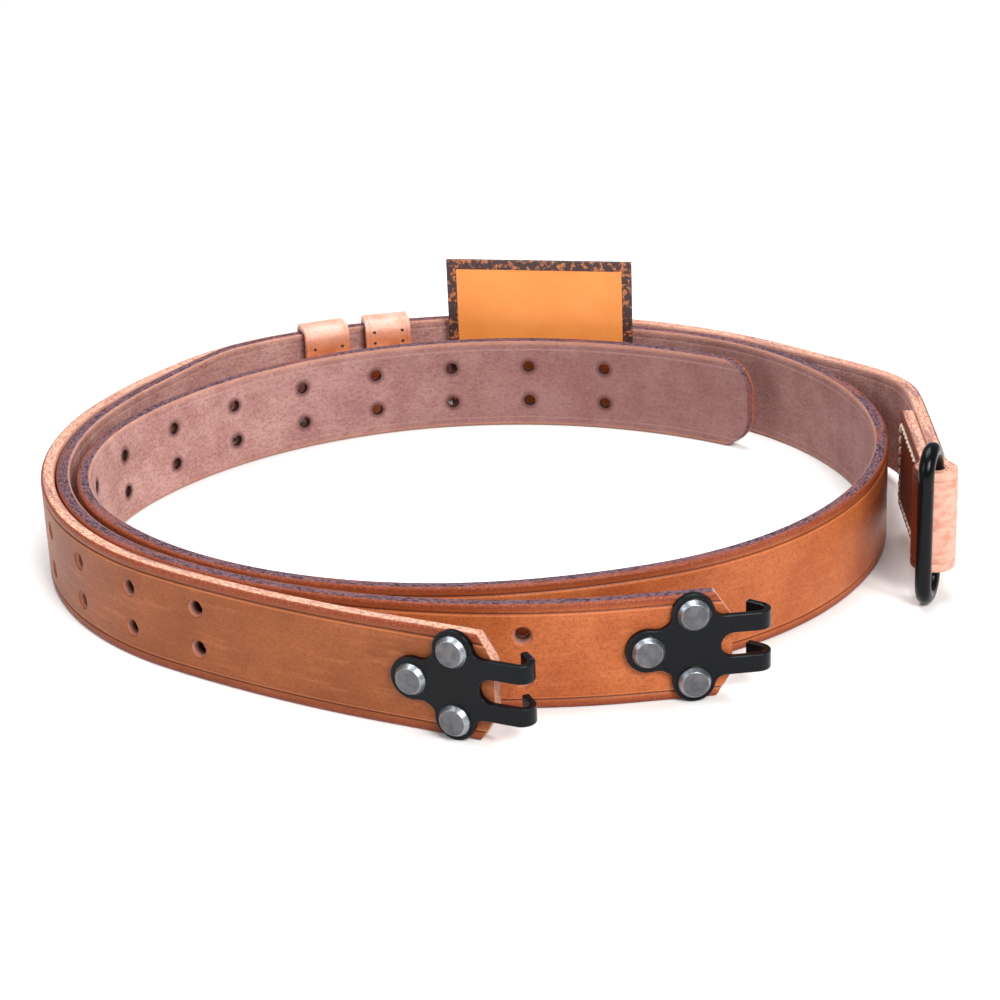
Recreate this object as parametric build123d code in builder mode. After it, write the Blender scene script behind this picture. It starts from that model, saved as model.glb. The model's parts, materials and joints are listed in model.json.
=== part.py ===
"""Two-piece leather carrying sling, coiled and standing on edge, with claw plates, keepers and a ring.

Millimetres, +Z up. The origin is the middle of the footprint, on the surface the sling stands on.
"""
from math import acos, cos, degrees, radians, sin
import os

from build123d import *

os.makedirs("parts", exist_ok=True)

STANDING = (Align.CENTER, Align.CENTER, Align.MIN)
HANGING = (Align.CENTER, Align.CENTER, Align.MAX)

# ---- leather -----------------------------------------------------------------------------------
STRAP_WIDTH = 31.75
STRAP_THICK = 4.2
HALF_THICK = STRAP_THICK / 2
EDGE_ROUND = 0.8
END_CUT = (4.8, 7.6)
TAIL_ROUND = 12.0

# A path step is (radius, degrees turned to the right) or (None, straight length).
SHORT_START = (1.79, -132.17)
SHORT_HEADING = 154.0
SHORT_COIL = [(None, 33.0), (390.0, 11.0), (115.0, 78.0), (180.0, 15.0), (80.0, 25.0), (158.0, 66.0)]
RING_END = [(158.0, 12.0), (91.0, 39.0), (None, 57.5)]

LONG_START = (66.58, -108.67)
LONG_HEADING = 186.0
LONG_FRONT = [(None, 28.0), (176.0, 47.0), (109.0, 72.0), (180.0, 6.0)]
LONG_BACK = [(99.0, 39.0), (164.0, 50.0)]
LONG_INNER = [(94.0, 24.0), (111.5, 111.0), (185.0, 12.0), (131.0, 61.0),
              (83.0, 65.0), (128.0, 56.0), (144.0, 44.0)]

# ---- lifted stretches: the ring and the keepers reach lower than the straps they hang on --------
RING_LIFT = 9.15
RING_LIFT_Y = (88.0, 1.5)
KEEPER_LIFT = 2.9
KEEPER_LIFT_X = (-113.5, -85.5, -7.5, 34.5)
SPAN = 200.0

# ---- adjustment holes --------------------------------------------------------------------------
HOLE_RADIUS = 2.0
HOLE_ROW_OFFSET = 6.35
HOLE_BEVEL = 0.8
SHORT_HOLES = [95.5 + 26.4 * i for i in range(12)]
LONG_FIRST_HOLE = 57.5
TAIL_HOLE_INSET = 55.6
TAIL_HOLE_PITCH = 27.65
TAIL_HOLE_PAIRS = 11

# ---- ring, fold and stitching ------------------------------------------------------------------
WIRE = 4.8
RING_CLEARANCE = 0.08
RING_BEND = 6.6
RING_STRAIGHT = 32.4
RING_HEADING = -112.0
LAYER_GAP = 0.2
FOLD_BLEND = 10.0
FLAP_LENGTH = 39.0
STITCH_INSET = 3.2
STITCH_PITCH = 3.6
STITCH_FROM_CUT = 3.0
STITCH_RUN = 32.4
THREAD = 0.9
THREAD_PROUD = 0.45

# ---- claw plates and rivets --------------------------------------------------------------------
PLATE_THICK = 2.0
PLATE_RISE = 16.35
RIVET_INSET = 11.0
RIVET_SPAN = 12.7
RIVET_RISE = 10.2
LEFT_LOBE = 6.3
RIGHT_LOBE = 6.0
WAIST = (9.0, 6.1)
SHOULDER = 4.0
WAIST_ROUND = 3.0
CLAW_WIDTH = 5.3
CLAW_SPACING = 12.6
NOTCH_DEPTH = 7.6
CLAW_REACH = 18.2
CLAW_BEND = 3.0
CLAW_TURN = 138.0
CLAW_RETURN = 4.6
RIVET_HEAD = 4.9
RIVET_FLAT = 3.7
RIVET_EDGE_ROUND = 0.25
RIVET_SHANK = 1.8
RIVET_HEIGHT = 2.0
RIVET_BORE = 1.85
BURR_RADIUS = 4.4
BURR_THICK = 1.0
PEEN_RADIUS = 2.7
PEEN_THICK = 0.8

# ---- keepers -----------------------------------------------------------------------------------
KEEPER_WALL = 2.3
KEEPER_WIDTH = 16.2
KEEPER_INNER = (8.6, 32.8)
KEEPER_ROUNDS = (4.4, 0.6)
KEEPER_OUTSIDE_GAP = 1.0
KEEPER_AT = (10.5, 33.5)
STAPLE_WIRE = 0.9
STAPLE_SPREAD = 4.0
STAPLE_RISE = (28.0, 31.5)
STAPLE_ASIDE = 5.0

# ---- standing tag ------------------------------------------------------------------------------
TAG_WIDTH = 66.0
TAG_HEIGHT = 58.0
TAG_THICK = 1.2
TAG_BORDER = 3.4
TAG_BORDER_THICK = 1.8
TAG_CENTRE = (21.4, 116.1)
TAG_ANGLE = -11.0


def beside(point, heading, offset):
    """Point moved sideways; a positive offset is to the left of travel."""
    return (point[0] - offset * sin(radians(heading)), point[1] + offset * cos(radians(heading)))


def step_end(point, heading, step):
    """Point and heading reached after one path step."""
    radius, amount = step
    if radius is None:
        x, y = cos(radians(heading)), sin(radians(heading))
        return (point[0] + amount * x, point[1] + amount * y), heading
    after = heading - amount
    centre = beside(point, heading, -radius)
    return beside(centre, after, radius), after


def path_end(point, heading, steps):
    """Point and heading reached after all the path steps."""
    for step in steps:
        point, heading = step_end(point, heading, step)
    return point, heading


def step_length(step):
    """Length of one path step along its centreline."""
    radius, amount = step
    return amount if radius is None else abs(radius * radians(amount))


def station(point, heading, steps, distance):
    """Point and heading at a distance along the path."""
    for step in steps:
        length = step_length(step)
        if distance <= length:
            radius, amount = step
            return step_end(point, heading, (radius, amount * distance / length))
        distance -= length
        point, heading = step_end(point, heading, step)
    return point, heading


def side_line(point, heading, steps, offset):
    """Draw the path as lines and arcs, shifted sideways, and return its end point."""
    for step in steps:
        radius, amount = step
        after_point, after_heading = step_end(point, heading, step)
        start = beside(point, heading, offset)
        if radius is None:
            Line(start, beside(after_point, after_heading, offset))
        else:
            tangent = (cos(radians(heading)), sin(radians(heading)))
            JernArc(start=start, tangent=tangent, radius=abs(radius + offset), arc_size=-amount)
        point, heading = after_point, after_heading
    return beside(point, heading, offset)


def draw_band(point, heading, steps, half=HALF_THICK):
    """Sketch the outline of a strip that follows the path."""
    with BuildLine() as outline:
        left_end = side_line(point, heading, steps, half)
        right_end = side_line(point, heading, steps, -half)
        Line(left_end, right_end)
        Line(beside(point, heading, half), beside(point, heading, -half))
    make_face(outline.edges())


def draw_lift(levels):
    """Sketch the side view of a strap whose lower edge passes through (distance, height) levels."""
    with BuildLine() as outline:
        for raised in (0, STRAP_WIDTH):
            for (start, low), (end, high) in zip(levels, levels[1:]):
                if low == high:
                    Line((start, low + raised), (end, high + raised))
                else:
                    way = (end - start, 0)
                    Spline((start, low + raised), (end, high + raised), tangents=(way, way))
        for distance, height in (levels[0], levels[-1]):
            Line((distance, height), (distance, height + STRAP_WIDTH))
    make_face(outline.edges())


def face_plane(point, heading, height):
    """Plane on the grain face of the strap, looking out of it, with its x axis along the strap."""
    face = beside(point, heading, HALF_THICK)
    along = (cos(radians(heading)), sin(radians(heading)), 0)
    return Plane(origin=(*face, height), x_dir=along, z_dir=(-along[1], along[0], 0))


def plan_plane(point, heading, height):
    """Level plane at the grain face: x along the strap, y out of the grain face."""
    face = beside(point, heading, HALF_THICK)
    return Plane(origin=(*face, height), x_dir=(cos(radians(heading)), sin(radians(heading)), 0))


def round_long_edges():
    """Round the four long edges of the strap being built."""
    long_edges = [e for e in edges() if e.length > 2 * STRAP_THICK and abs((e % 0.5).Z) < 0.5]
    fillet(long_edges, EDGE_ROUND)


def punch_pairs(start, heading, steps, distances):
    """Cut two rows of adjustment holes through the strap, each opened a little at the grain face."""
    for distance in distances:
        plane = face_plane(*station(start, heading, steps, distance), STRAP_WIDTH / 2)
        rows = [Location(plane) * Pos(0, row, 0) for row in (-HOLE_ROW_OFFSET, HOLE_ROW_OFFSET)]
        with Locations(*rows):
            Cylinder(HOLE_RADIUS, 3 * STRAP_THICK, mode=Mode.SUBTRACT)
            Cone(HOLE_RADIUS, HOLE_RADIUS + 2 * HOLE_BEVEL, 2 * HOLE_BEVEL, mode=Mode.SUBTRACT)


def bore_rivets(plane, depth):
    """Cut the three rivet holes of a claw plate."""
    with Locations(*[Location(plane) * Pos(*spot) for spot in RIVET_SPOTS.values()]):
        Cylinder(RIVET_BORE, 2 * depth, mode=Mode.SUBTRACT)


def trim_plate_end(plane):
    """Cut the two corners off the strap end that carries a claw plate."""
    along, up = END_CUT
    for side in (-1, 1):
        edge = side * STRAP_WIDTH / 2 - (STRAP_WIDTH / 2 - PLATE_RISE)
        with BuildSketch(plane) as corner:
            with BuildLine():
                Polyline((-RIVET_INSET - 1, edge), (-RIVET_INSET + along, edge),
                         (-RIVET_INSET - 1, edge - side * up * (along + 1) / along), close=True)
            make_face()
        extrude(corner.sketch, amount=2 * STRAP_THICK, both=True, mode=Mode.SUBTRACT)


def round_tail(plane):
    """Round off the two corners of a strap end; the plane lies on its grain face, x leaving the end."""
    bulge = TAIL_ROUND * sin(radians(45))
    for side in (-1, 1):
        edge = side * STRAP_WIDTH / 2
        middle = (bulge - TAIL_ROUND, edge - side * (TAIL_ROUND - bulge))
        with BuildSketch(plane) as corner:
            with BuildLine():
                ThreePointArc((-TAIL_ROUND, edge), middle, (0, edge - side * TAIL_ROUND))
                Polyline((0, edge - side * TAIL_ROUND), (1, edge - side * TAIL_ROUND), (1, edge + side),
                         (-TAIL_ROUND, edge + side), (-TAIL_ROUND, edge))
            make_face()
        extrude(corner.sketch, amount=2 * STRAP_THICK, both=True, mode=Mode.SUBTRACT)


RIVET_SPOTS = {"left": (RIVET_SPAN, 0), "upper": (0, -RIVET_RISE), "lower": (0, RIVET_RISE)}
SHORT_PLATE = station(SHORT_START, SHORT_HEADING, SHORT_COIL, RIVET_INSET)
LONG_PLATE = station(LONG_START, LONG_HEADING, LONG_FRONT, RIVET_INSET)

# Where the ring end doubles back: a small S, the wrap round the wire, the same S again.
WRAP = WIRE / 2 + RING_CLEARANCE + HALF_THICK
LAYER_HALF = HALF_THICK + LAYER_GAP / 2
FOLD_ANGLE = degrees(acos((LAYER_HALF + FOLD_BLEND) / (FOLD_BLEND + WRAP)))
FOLD_BEND = (-FOLD_BLEND, -FOLD_ANGLE)
FOLD = [FOLD_BEND, (WRAP, 180 + 2 * FOLD_ANGLE), FOLD_BEND, (None, FLAP_LENGTH)]


# ---- short strap -------------------------------------------------------------------------------
ring_end_start, ring_end_heading = path_end(SHORT_START, SHORT_HEADING, SHORT_COIL)
fold_start, fold_heading = path_end(ring_end_start, ring_end_heading, RING_END)

with BuildPart() as ring_end:
    with BuildSketch():
        draw_band(ring_end_start, ring_end_heading, RING_END + FOLD)
    extrude(amount=STRAP_WIDTH + RING_LIFT)
    with BuildSketch(Plane.YZ):
        draw_lift([(SPAN, 0), (RING_LIFT_Y[0], 0), (RING_LIFT_Y[1], RING_LIFT), (-SPAN, RING_LIFT)])
    extrude(amount=SPAN, mode=Mode.INTERSECT)
    round_long_edges()

short_face = face_plane(*SHORT_PLATE, PLATE_RISE)
with BuildPart() as short_strap:
    with BuildSketch():
        draw_band(SHORT_START, SHORT_HEADING, SHORT_COIL)
    extrude(amount=STRAP_WIDTH)
    round_long_edges()
    add(ring_end.part)
    trim_plate_end(short_face)
    punch_pairs(SHORT_START, SHORT_HEADING, SHORT_COIL, SHORT_HOLES)
    bore_rivets(short_face, STRAP_THICK)

# ---- long strap --------------------------------------------------------------------------------
back_start, back_heading = path_end(LONG_START, LONG_HEADING, LONG_FRONT)
inner_start, inner_heading = path_end(back_start, back_heading, LONG_BACK)

with BuildPart() as back_stretch:
    with BuildSketch():
        draw_band(back_start, back_heading, LONG_BACK)
    extrude(amount=STRAP_WIDTH + KEEPER_LIFT)
    with BuildSketch(Plane.XZ):
        left, left_full, right_full, right = KEEPER_LIFT_X
        draw_lift([(-SPAN, 0), (left, 0), (left_full, KEEPER_LIFT),
                   (right_full, KEEPER_LIFT), (right, 0), (SPAN, 0)])
    extrude(amount=-SPAN, mode=Mode.INTERSECT)
    round_long_edges()

long_face = face_plane(*LONG_PLATE, PLATE_RISE)
inner_length = sum(step_length(step) for step in LONG_INNER)
tail_holes = [inner_length - TAIL_HOLE_INSET - TAIL_HOLE_PITCH * i for i in range(TAIL_HOLE_PAIRS)]
with BuildPart() as long_strap:
    with BuildSketch():
        draw_band(LONG_START, LONG_HEADING, LONG_FRONT)
        draw_band(inner_start, inner_heading, LONG_INNER)
    extrude(amount=STRAP_WIDTH)
    round_long_edges()
    add(back_stretch.part)
    trim_plate_end(long_face)
    punch_pairs(LONG_START, LONG_HEADING, LONG_FRONT, [LONG_FIRST_HOLE])
    punch_pairs(inner_start, inner_heading, LONG_INNER, tail_holes)
    bore_rivets(long_face, STRAP_THICK)
    round_tail(face_plane(*path_end(inner_start, inner_heading, LONG_INNER), STRAP_WIDTH / 2))


# ---- claw plates -------------------------------------------------------------------------------
CLAW_PATH = [(None, CLAW_REACH - 9), (-CLAW_BEND, -CLAW_TURN), (None, CLAW_RETURN)]
NOTCH_RADIUS = (CLAW_SPACING - CLAW_WIDTH) / 2
CLAW_OUTSIDE = (CLAW_SPACING + CLAW_WIDTH) / 2
NOTCH_CENTRE = -NOTCH_DEPTH - NOTCH_RADIUS


def draw_plate():
    """Sketch the flat of a claw plate: three rivet lobes, two claw roots and the notch between them."""
    with BuildLine() as body:
        waist, half_waist = WAIST
        Polyline((NOTCH_CENTRE, CLAW_OUTSIDE), (SHOULDER, CLAW_OUTSIDE), (waist, half_waist),
                 (RIVET_SPAN, half_waist), (RIVET_SPAN, -half_waist), (waist, -half_waist),
                 (SHOULDER, -CLAW_OUTSIDE), (NOTCH_CENTRE, -CLAW_OUTSIDE), close=True)
    make_face(body.edges())
    with Locations(RIVET_SPOTS["left"]):
        Circle(LEFT_LOBE)
    with Locations(RIVET_SPOTS["upper"], RIVET_SPOTS["lower"]):
        Circle(RIGHT_LOBE)
    with Locations((NOTCH_CENTRE, 0)):
        Circle(NOTCH_RADIUS, mode=Mode.SUBTRACT)


def waist_corners(sketch):
    """Inner corners between the upper and lower lobes and the body of the plate."""
    return [v for v in sketch.vertices() if 5 < abs(v.X) < 6.5 and 7.5 < abs(v.Y) < 9.5]


claw_plates = {}
for owner, place in (("short", SHORT_PLATE), ("long", LONG_PLATE)):
    with BuildPart() as plate:
        with BuildSketch(face_plane(*place, PLATE_RISE)) as flat:
            draw_plate()
            fillet(waist_corners(flat.sketch_local), WAIST_ROUND)
        extrude(amount=PLATE_THICK)
        for side in (-1, 1):
            foot = PLATE_RISE + side * CLAW_SPACING / 2 - CLAW_WIDTH / 2
            with BuildSketch(plan_plane(*place, foot)) as claw:
                draw_band((-9, PLATE_THICK / 2), 180, CLAW_PATH, PLATE_THICK / 2)
            extrude(claw.sketch, amount=CLAW_WIDTH)
        bore_rivets(face_plane(*place, PLATE_RISE), PLATE_THICK)
    claw_plates[owner] = plate.part


# ---- rivets and burrs --------------------------------------------------------------------------
rivets = {}
burrs = {}
for owner, place in (("short", SHORT_PLATE), ("long", LONG_PLATE)):
    seat = Location(face_plane(*place, PLATE_RISE))
    for spot, (along, across) in RIVET_SPOTS.items():
        with BuildPart() as rivet:
            with Locations(seat * Pos(along, across, PLATE_THICK)):
                Cone(RIVET_HEAD, RIVET_FLAT, RIVET_HEIGHT, align=STANDING)
            with Locations(seat * Pos(along, across, PLATE_THICK)):
                shank = PLATE_THICK + STRAP_THICK + BURR_THICK
                Cylinder(RIVET_SHANK, shank, align=HANGING)
            with Locations(seat * Pos(along, across, -STRAP_THICK - BURR_THICK)):
                Cylinder(PEEN_RADIUS, PEEN_THICK, align=HANGING)
            circles = edges().filter_by(GeomType.CIRCLE)
            fillet([e for e in circles if abs(e.radius - RIVET_FLAT) < 0.01], RIVET_EDGE_ROUND)
        rivets[f"{owner}_rivet_{spot}"] = rivet.part
        with BuildPart() as burr:
            with Locations(seat * Pos(along, across, -STRAP_THICK)):
                Cylinder(BURR_RADIUS, BURR_THICK, align=HANGING)
                Cylinder(RIVET_BORE, 3 * BURR_THICK, mode=Mode.SUBTRACT)
        burrs[f"{owner}_burr_{spot}"] = burr.part

# ---- ring --------------------------------------------------------------------------------------
wrap_start, wrap_heading = step_end(fold_start, fold_heading, FOLD_BEND)
wire_axis = beside(wrap_start, wrap_heading, -WRAP)
ring_height = RING_STRAIGHT / 2 + RING_BEND + WIRE / 2
ring_along = (cos(radians(RING_HEADING)), sin(radians(RING_HEADING)), 0)
ring_normal = (ring_along[1], -ring_along[0], 0)
ring_plane = Plane(origin=(*wire_axis, ring_height), x_dir=ring_along, z_dir=ring_normal)
with BuildPart() as ring:
    with BuildLine(ring_plane):
        half = RING_STRAIGHT / 2
        Line((0, -half), (0, half))
        ThreePointArc((0, half), (RING_BEND, half + RING_BEND), (2 * RING_BEND, half))
        Line((2 * RING_BEND, half), (2 * RING_BEND, -half))
        ThreePointArc((2 * RING_BEND, -half), (RING_BEND, -half - RING_BEND), (0, -half))
    with BuildSketch(Plane(origin=ring_plane.origin, x_dir=ring_along, z_dir=(0, 0, 1))):
        Circle(WIRE / 2)
    sweep()

# ---- stitching of the ring end -----------------------------------------------------------------
flap_start, flap_heading = path_end(fold_start, fold_heading, FOLD[:-1])
stitch_mid = RING_LIFT + STRAP_WIDTH / 2
flap_plane = face_plane(flap_start, flap_heading, stitch_mid)
stitch_last = FLAP_LENGTH - STITCH_FROM_CUT
stitch_first = stitch_last - STITCH_RUN
stitch_side = STRAP_WIDTH / 2 - STITCH_INSET
layers = 2 * STRAP_THICK + LAYER_GAP
row_spots = [(stitch_first + STITCH_PITCH * i, side * stitch_side)
             for i in range(round(STITCH_RUN / STITCH_PITCH) + 1) for side in (-1, 1)]
column_spots = [(stitch_last, stitch_side * i / 3.5) for i in (-2.5, -1.5, -0.5, 0.5, 1.5, 2.5)]
stitch_locations = [Location(flap_plane) * Pos(x, y, -layers / 2) for x, y in row_spots + column_spots]
with BuildPart() as ring_tab_stitching:
    with Locations(*stitch_locations):
        Cylinder(THREAD / 2, layers + THREAD_PROUD)
    for face in (0, -layers - THREAD_PROUD):
        with BuildSketch(flap_plane.offset(face)):
            for side in (-1, 1):
                with Locations(((stitch_first + stitch_last) / 2, side * stitch_side)):
                    Rectangle(STITCH_RUN + THREAD, THREAD)
            with Locations((stitch_last, 0)):
                Rectangle(THREAD, 2 * stitch_side)
        extrude(amount=THREAD_PROUD)

with BuildPart() as stitched_strap:
    add(short_strap.part)
    with Locations(*stitch_locations):
        Cylinder(THREAD / 2 + 0.05, 2 * layers, mode=Mode.SUBTRACT)

# ---- keepers -----------------------------------------------------------------------------------
keepers = {}
staples = {}
inner_depth, inner_height = KEEPER_INNER
outer_round, inner_round = KEEPER_ROUNDS
for number, distance in enumerate(KEEPER_AT, 1):
    spot, heading = station(back_start, back_heading, LONG_BACK, step_length(LONG_BACK[0]) + distance)
    along = (cos(radians(heading)), sin(radians(heading)), 0)
    middle = beside(spot, heading, HALF_THICK + KEEPER_OUTSIDE_GAP - inner_depth / 2)
    mid_height = inner_height / 2 + KEEPER_WALL
    section = Plane(origin=(*middle, mid_height), x_dir=(-along[1], along[0], 0), z_dir=along)
    wall = Location(section) * Pos(-inner_depth / 2, 0, 0)
    rise = STAPLE_RISE[number - 1] - mid_height
    leg_spots = [(aside, rise + end * STAPLE_SPREAD / 2)
                 for aside in (-STAPLE_ASIDE, STAPLE_ASIDE) for end in (-1, 1)]
    with BuildPart() as keeper:
        with BuildSketch(section):
            RectangleRounded(inner_depth + 2 * KEEPER_WALL, inner_height + 2 * KEEPER_WALL, outer_round)
            RectangleRounded(inner_depth, inner_height, inner_round, mode=Mode.SUBTRACT)
        extrude(amount=KEEPER_WIDTH / 2, both=True)
        with Locations(*[wall * Pos(0, rise, aside) * Rot(0, 90, 0) for aside, rise in leg_spots]):
            Cylinder(STAPLE_WIRE / 2 + 0.03, 3 * KEEPER_WALL, mode=Mode.SUBTRACT)
    keepers[f"keeper_{number}"] = keeper.part
    for name, aside in (("left", -STAPLE_ASIDE), ("right", STAPLE_ASIDE)):
        with BuildPart() as staple:
            for end in (-1, 1):
                leg = wall * Pos(STAPLE_WIRE / 2, rise + end * STAPLE_SPREAD / 2, aside) * Rot(0, -90, 0)
                with Locations(leg):
                    Cylinder(STAPLE_WIRE / 2, KEEPER_WALL + STAPLE_WIRE / 2, align=STANDING)
            with Locations(wall * Pos(STAPLE_WIRE / 2, rise, aside)):
                Box(STAPLE_WIRE, STAPLE_SPREAD + STAPLE_WIRE, STAPLE_WIRE)
        staples[f"keeper_{number}_staple_{name}"] = staple.part

# ---- standing tag ------------------------------------------------------------------------------
tag_along = (cos(radians(TAG_ANGLE)), sin(radians(TAG_ANGLE)), 0)
tag_normal = (tag_along[1], -tag_along[0], 0)
tag_plane = Plane(origin=(*TAG_CENTRE, TAG_HEIGHT / 2), x_dir=tag_along, z_dir=tag_normal)
field = (TAG_WIDTH - 2 * TAG_BORDER, TAG_HEIGHT - 2 * TAG_BORDER)
with BuildPart() as tag_panel:
    with BuildSketch(tag_plane.offset(-TAG_THICK / 2)):
        Rectangle(*field)
    extrude(amount=TAG_THICK)
with BuildPart() as tag_border:
    with BuildSketch(tag_plane.offset(-TAG_BORDER_THICK / 2)):
        Rectangle(TAG_WIDTH, TAG_HEIGHT)
        Rectangle(*field, mode=Mode.SUBTRACT)
    extrude(amount=TAG_BORDER_THICK)

# ---- export ------------------------------------------------------------------------------------
everything = {
    "short_strap": stitched_strap.part,
    "long_strap": long_strap.part,
    "ring": ring.part,
    "ring_tab_stitching": ring_tab_stitching.part,
    "tag_panel": tag_panel.part,
    "tag_border": tag_border.part,
}
everything.update({f"{owner}_claw_plate": part for owner, part in claw_plates.items()})
for group in (rivets, burrs, keepers, staples):
    everything.update(group)
for name, part in everything.items():
    part.label = name
    export_step(part, f"parts/{name}.step")
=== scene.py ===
"""Looks of the coiled two-piece leather sling: leather, enamel, steel, thread, tag, light and camera."""

import json
import math
import random
from collections import namedtuple

import bmesh
import bpy
from mathutils import Matrix, Vector
from mathutils.kdtree import KDTree


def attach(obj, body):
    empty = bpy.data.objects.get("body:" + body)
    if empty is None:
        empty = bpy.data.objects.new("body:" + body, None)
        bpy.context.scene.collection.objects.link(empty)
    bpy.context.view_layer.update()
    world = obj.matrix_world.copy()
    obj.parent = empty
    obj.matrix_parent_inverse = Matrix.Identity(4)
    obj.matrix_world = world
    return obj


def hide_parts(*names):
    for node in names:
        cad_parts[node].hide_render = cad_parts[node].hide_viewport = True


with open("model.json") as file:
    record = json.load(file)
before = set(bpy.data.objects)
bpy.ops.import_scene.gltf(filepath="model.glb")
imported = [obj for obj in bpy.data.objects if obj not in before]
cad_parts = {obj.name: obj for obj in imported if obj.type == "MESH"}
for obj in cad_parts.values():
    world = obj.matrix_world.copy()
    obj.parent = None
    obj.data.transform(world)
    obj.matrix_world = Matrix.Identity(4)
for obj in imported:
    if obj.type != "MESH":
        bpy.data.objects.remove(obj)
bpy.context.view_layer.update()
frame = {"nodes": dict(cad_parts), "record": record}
MM = 0.001

# ---- the sling's sizes, in millimetres -----------------------------------------------------------
STRAP_WIDTH = 31.75
HALF_THICK = 2.1
PLATE_RISE = 16.35
RIVET_INSET = 11.0
RIVET_SPOTS = ((12.7, 0.0), (0.0, -10.2), (0.0, 10.2))
HOLE_ROW_OFFSET = 6.35
RING_LIFT = 9.15
RING_LIFT_Y = (88.0, 1.5)
KEEPER_LIFT = 2.9
KEEPER_LIFT_X = (-113.5, -85.5, -7.5, 34.5)

# A path step is (radius, degrees turned to the right) or (None, straight length).
SHORT_START = (1.79, -132.17)
SHORT_HEADING = 154.0
SHORT_COIL = [(None, 33.0), (390.0, 11.0), (115.0, 78.0), (180.0, 15.0), (80.0, 25.0), (158.0, 66.0)]
RING_END = [(158.0, 12.0), (91.0, 39.0), (None, 57.5)]
LONG_START = (66.58, -108.67)
LONG_HEADING = 186.0
LONG_FRONT = [(None, 28.0), (176.0, 47.0), (109.0, 72.0), (180.0, 6.0)]
LONG_BACK = [(99.0, 39.0), (164.0, 50.0)]
LONG_INNER = [(94.0, 24.0), (111.5, 111.0), (185.0, 12.0), (131.0, 61.0),
              (83.0, 65.0), (128.0, 56.0), (144.0, 44.0)]

# Where the ring end doubles back: a small S, the wrap round the ring's wire, the same S again.
WIRE = 4.8
RING_CLEARANCE = 0.08
LAYER_GAP = 0.2
WRAP = WIRE / 2 + RING_CLEARANCE + HALF_THICK
LAYER_HALF = HALF_THICK + LAYER_GAP / 2
FOLD_BLEND = 10.0
FLAP_LENGTH = 39.0
FOLD_ANGLE = math.degrees(math.acos((LAYER_HALF + FOLD_BLEND) / (FOLD_BLEND + WRAP)))
FOLD_BEND = (-FOLD_BLEND, -FOLD_ANGLE)
FOLD = [FOLD_BEND, (WRAP, 180 + 2 * FOLD_ANGLE), FOLD_BEND, (None, FLAP_LENGTH)]

# Hole pairs are measured from the claw end, and those of the tail from its rounded end.
SHORT_FIRST_HOLE = 95.5
SHORT_PITCH = 26.4
SHORT_PAIRS = 12
SHORT_HOLES = [SHORT_FIRST_HOLE + SHORT_PITCH * i for i in range(SHORT_PAIRS)]
LONG_FIRST_HOLE = 57.5
TAIL_INSET = 55.6
TAIL_PITCH = 27.65
TAIL_PAIRS = 11
TAIL_HOLES = [TAIL_INSET + TAIL_PITCH * i for i in range(TAIL_PAIRS)]
TAIL_ROUND = 12.0
END_CUT = (4.8, 7.6)
KEEPER_WIDTH = 16.2
KEEPER_WALL = 2.3
KEEPER_INNER = (8.6, 32.8)
KEEPER_ROUNDS = (4.4, 0.6)
KEEPER_OUTSIDE_GAP = 1.0
KEEPER_AT = (10.5, 33.5)
STAPLE_RISE = (28.0, 31.5)
STAPLE_ASIDE = 5.0
STAPLE_SPREAD = 4.0


# ---- paths ---------------------------------------------------------------------------------------
SWEEP_PITCH = 1.6
BEND_STEP = 7.0

# A strap's path: where it starts, the steps it takes, and the height of its lower edge along it.
Route = namedtuple("Route", "start heading steps lift")


def beside(point, heading, offset):
    """Point moved sideways; a positive offset is to the left of travel."""
    angle = math.radians(heading)
    return (point[0] - offset * math.sin(angle), point[1] + offset * math.cos(angle))


def step_end(point, heading, step):
    """Point and heading reached after one path step."""
    radius, amount = step
    if radius is None:
        angle = math.radians(heading)
        return (point[0] + amount * math.cos(angle), point[1] + amount * math.sin(angle)), heading
    after = heading - amount
    return beside(beside(point, heading, -radius), after, radius), after


def step_length(step):
    """Length of one path step along the middle of the leather."""
    radius, amount = step
    return amount if radius is None else abs(radius * math.radians(amount))


def path_length(steps):
    """Length of several path steps."""
    return sum(step_length(step) for step in steps)


def station(route, distance):
    """Point and heading at a distance along the route."""
    point, heading = route.start, route.heading
    for step in route.steps:
        length = step_length(step)
        if distance <= length:
            return step_end(point, heading, (step[0], step[1] * distance / length))
        distance -= length
        point, heading = step_end(point, heading, step)
    return point, heading


def sample_distances(steps):
    """Distances along the path, closer together round small bends."""
    found, done = [0.0], 0.0
    for step in steps:
        length = step_length(step)
        pitch = SWEEP_PITCH
        if step[0] is not None:
            pitch = min(pitch, abs(step[0]) * math.radians(BEND_STEP))
        count = max(1, math.ceil(length / pitch))
        found += [done + length * (i + 1) / count for i in range(count)]
        done += length
    return found


def ease(share):
    """Smooth rise from 0 to 1."""
    share = min(max(share, 0.0), 1.0)
    return share * share * (3 - 2 * share)


def short_lift(point, distance):
    """Height of the short strap's lower edge."""
    if distance < path_length(SHORT_COIL):
        return 0.0
    high, low = RING_LIFT_Y
    return RING_LIFT * ease((high - point[1]) / (high - low))


def long_lift(point, distance):
    """Height of the long strap's lower edge."""
    front = path_length(LONG_FRONT)
    if not front < distance < front + path_length(LONG_BACK):
        return 0.0
    left, left_full, right_full, right = KEEPER_LIFT_X
    up = ease((point[0] - left) / (left_full - left))
    down = ease((right - point[0]) / (right - right_full))
    return KEEPER_LIFT * min(up, down)


SHORT = Route(SHORT_START, SHORT_HEADING, SHORT_COIL + RING_END + FOLD, short_lift)
LONG = Route(LONG_START, LONG_HEADING, LONG_FRONT + LONG_BACK + LONG_INNER, long_lift)
LONG_LENGTH = path_length(LONG.steps)


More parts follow.
